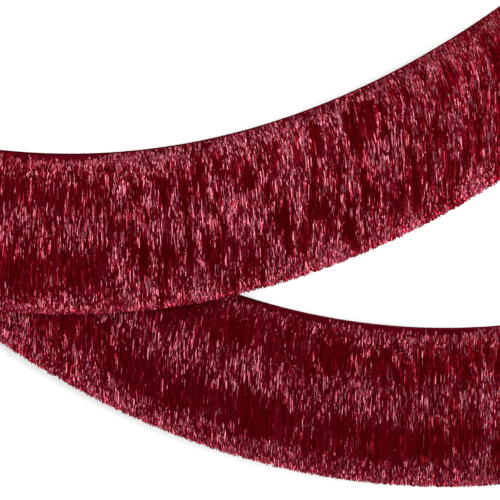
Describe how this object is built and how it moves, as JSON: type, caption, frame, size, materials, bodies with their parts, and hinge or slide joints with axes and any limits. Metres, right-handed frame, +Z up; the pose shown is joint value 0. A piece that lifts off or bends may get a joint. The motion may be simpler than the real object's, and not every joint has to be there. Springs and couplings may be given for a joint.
{
  "type": "fringe banner",
  "caption": "Metallic tinsel fringe banner draped in two curved tiers that fold round a hook, with a sewn heading on a cord and a hanging loop at each end.",
  "frame": {"origin": "middle of the fold between the two tiers, level with the highest point of the cord in the fold: the axis of the upright hook or peg that the fold hangs on", "axes": "+X along the tiers from the fold to the loose ends, +Y from the front of the banner to its back, +Z up"},
  "size_m": [0.7682, 0.0311, 0.6699],
  "materials": {
    "burgundy_foil": "metallic foil strands, deep burgundy red, crimped and sparkling",
    "folded_foil": "the same foil strands pressed flat and sewn, so smoother and darker",
    "cord_yarn": "matte twisted yarn",
    "sewing_thread": "matte chain stitch",
    "whipping_thread": "matte wound thread"
  },
  "bodies": {
    "header": {"header_cord": "cord_yarn", "heading_upper": "folded_foil", "heading_fold": "folded_foil", "heading_lower": "folded_foil", "stitching_upper_front": "sewing_thread", "stitching_upper_back": "sewing_thread", "stitching_fold_inner": "sewing_thread", "stitching_fold_outer": "sewing_thread", "stitching_lower_front": "sewing_thread", "stitching_lower_back": "sewing_thread", "end_loop_upper": "cord_yarn", "end_loop_lower": "cord_yarn", "whipping_upper": "whipping_thread", "whipping_lower": "whipping_thread"},
    "fringe_upper_1": {"fringe_upper_1_front": "burgundy_foil", "fringe_upper_1_back": "burgundy_foil"},
    "fringe_upper_2": {"fringe_upper_2_front": "burgundy_foil", "fringe_upper_2_back": "burgundy_foil"},
    "fringe_upper_3": {"fringe_upper_3_front": "burgundy_foil", "fringe_upper_3_back": "burgundy_foil"},
    "fringe_upper_4": {"fringe_upper_4_front": "burgundy_foil", "fringe_upper_4_back": "burgundy_foil"},
    "fringe_upper_5": {"fringe_upper_5_front": "burgundy_foil", "fringe_upper_5_back": "burgundy_foil"},
    "fringe_upper_6": {"fringe_upper_6_front": "burgundy_foil", "fringe_upper_6_back": "burgundy_foil"},
    "fringe_upper_7": {"fringe_upper_7_front": "burgundy_foil", "fringe_upper_7_back": "burgundy_foil"},
    "fringe_lower_1": {"fringe_lower_1_front": "burgundy_foil", "fringe_lower_1_back": "burgundy_foil"},
    "fringe_lower_2": {"fringe_lower_2_front": "burgundy_foil", "fringe_lower_2_back": "burgundy_foil"},
    "fringe_lower_3": {"fringe_lower_3_front": "burgundy_foil", "fringe_lower_3_back": "burgundy_foil"},
    "fringe_lower_4": {"fringe_lower_4_front": "burgundy_foil", "fringe_lower_4_back": "burgundy_foil"},
    "fringe_lower_5": {"fringe_lower_5_front": "burgundy_foil", "fringe_lower_5_back": "burgundy_foil"},
    "fringe_lower_6": {"fringe_lower_6_front": "burgundy_foil", "fringe_lower_6_back": "burgundy_foil"},
    "fringe_lower_7": {"fringe_lower_7_front": "burgundy_foil", "fringe_lower_7_back": "burgundy_foil"},
    "fringe_fold": {"fringe_fold_outer": "burgundy_foil", "fringe_fold_inner": "burgundy_foil"}
  },
  "joints": [
    {"name": "fringe_upper_1_swing", "type": "hinge", "parent": "header", "child": "fringe_upper_1", "pos_m": [0.05346, -0.011, -0.01328], "axis": [-0.9978, 0, 0.0667], "range_deg": [-1.5, 30]},
    {"name": "fringe_upper_2_swing", "type": "hinge", "parent": "header", "child": "fringe_upper_2", "pos_m": [0.16339, -0.011, -0.01324], "axis": [-0.9977, 0, -0.0674], "range_deg": [-1.5, 30]},
    {"name": "fringe_upper_3_swing", "type": "hinge", "parent": "header", "child": "fringe_upper_3", "pos_m": [0.27216, -0.011, 0.00135], "axis": [-0.9803, 0, -0.1973], "range_deg": [-1.5, 30]},
    {"name": "fringe_upper_4_swing", "type": "hinge", "parent": "header", "child": "fringe_upper_4", "pos_m": [0.37814, -0.011, 0.0297], "axis": [-0.9482, 0, -0.3177], "range_deg": [-30, 30]},
    {"name": "fringe_upper_5_swing", "type": "hinge", "parent": "header", "child": "fringe_upper_5", "pos_m": [0.47991, -0.011, 0.07053], "axis": [-0.9054, 0, -0.4245], "range_deg": [-30, 30]},
    {"name": "fringe_upper_6_swing", "type": "hinge", "parent": "header", "child": "fringe_upper_6", "pos_m": [0.57655, -0.011, 0.12221], "axis": [-0.8565, 0, -0.5162], "range_deg": [-30, 30]},
    {"name": "fringe_upper_7_swing", "type": "hinge", "parent": "header", "child": "fringe_upper_7", "pos_m": [0.66759, -0.011, 0.18308], "axis": [-0.8052, 0, -0.5931], "range_deg": [-30, 30]},
    {"name": "fringe_lower_1_swing", "type": "hinge", "parent": "header", "child": "fringe_lower_1", "pos_m": [0.03977, 0.011, -0.05045], "axis": [-0.8128, 0, 0.5825], "range_deg": [-30, 1.5]},
    {"name": "fringe_lower_2_swing", "type": "hinge", "parent": "header", "child": "fringe_lower_2", "pos_m": [0.13054, 0.011, -0.10864], "axis": [-0.8673, 0, 0.4977], "range_deg": [-30, 1.5]},
    {"name": "fringe_lower_3_swing", "type": "hinge", "parent": "header", "child": "fringe_lower_3", "pos_m": [0.22767, 0.011, -0.15783], "axis": [-0.915, 0, 0.4034], "range_deg": [-30, 1.5]},
    {"name": "fringe_lower_4_swing", "type": "hinge", "parent": "header", "child": "fringe_lower_4", "pos_m": [0.32972, 0.011, -0.19596], "axis": [-0.9557, 0, 0.2943], "range_deg": [-30, 20]},
    {"name": "fringe_lower_5_swing", "type": "hinge", "parent": "header", "child": "fringe_lower_5", "pos_m": [0.43567, 0.011, -0.2215], "axis": [-0.985, 0, 0.1725], "range_deg": [-30, 30]},
    {"name": "fringe_lower_6_swing", "type": "hinge", "parent": "header", "child": "fringe_lower_6", "pos_m": [0.54406, 0.011, -0.23326], "axis": [-0.9991, 0, 0.0422], "range_deg": [-30, 30]},
    {"name": "fringe_lower_7_swing", "type": "hinge", "parent": "header", "child": "fringe_lower_7", "pos_m": [0.65305, 0.011, -0.23063], "axis": [-0.9959, 0, -0.0902], "range_deg": [-30, 30]},
    {"name": "fringe_fold_swing", "type": "hinge", "parent": "header", "child": "fringe_fold", "pos_m": [-0.01364, 0, -0.01027], "axis": [0, 1, 0], "range_deg": [0, 20]}
  ]
}
